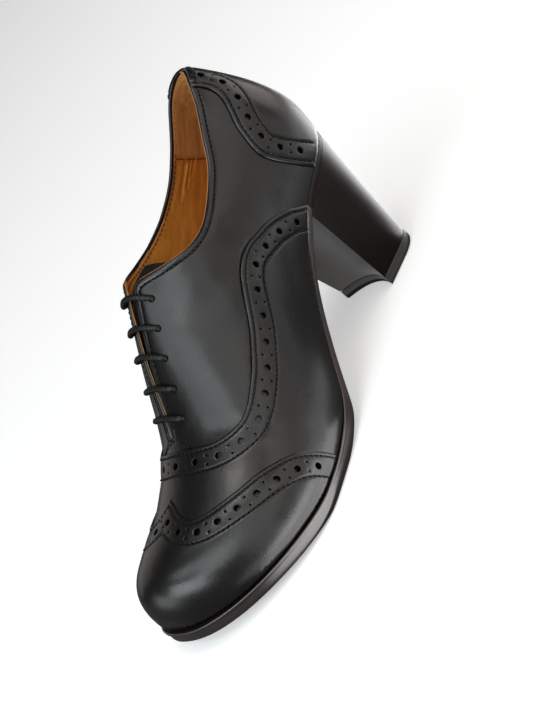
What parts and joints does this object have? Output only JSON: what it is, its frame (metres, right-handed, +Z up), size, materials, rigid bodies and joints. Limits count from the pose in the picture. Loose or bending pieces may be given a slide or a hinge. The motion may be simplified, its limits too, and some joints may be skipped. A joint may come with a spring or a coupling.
{
  "type": "brogue shoe",
  "caption": "Heeled lace-up brogue, left shoe: black leather upper with wing cap, punched vamp and counter, laced throat, tan lining and a tapered block heel.",
  "frame": {"origin": "on the floor, under the middle of the shoe's box", "axes": "+X to the toe, +Y to the outer (lateral) side, +Z up"},
  "size_m": [0.2256, 0.0862, 0.1281],
  "materials": {
    "outsole": "satin, dark stained edge",
    "heel_block": "satin, fine stacked lines",
    "heel_top_lift": "matt",
    "insole": "matt, tan",
    "upper": "smooth satin",
    "tongue": "smooth satin",
    "vamp_overlay": "smooth satin, punched edge",
    "wing_cap": "smooth satin, punched edge",
    "heel_counter": "smooth satin, punched edge",
    "lace": "waxed round cord"
  },
  "bodies": {
    "root": {"outsole": "outsole", "heel_block": "heel_block", "heel_top_lift": "heel_top_lift", "insole": "insole", "upper": "upper", "tongue": "tongue", "vamp_overlay": "vamp_overlay", "wing_cap": "wing_cap", "heel_counter": "heel_counter", "lace_bar_1": "lace", "lace_bar_2": "lace", "lace_bar_3": "lace", "lace_bar_4": "lace", "lace_bar_5": "lace"}
  },
  "joints": []
}
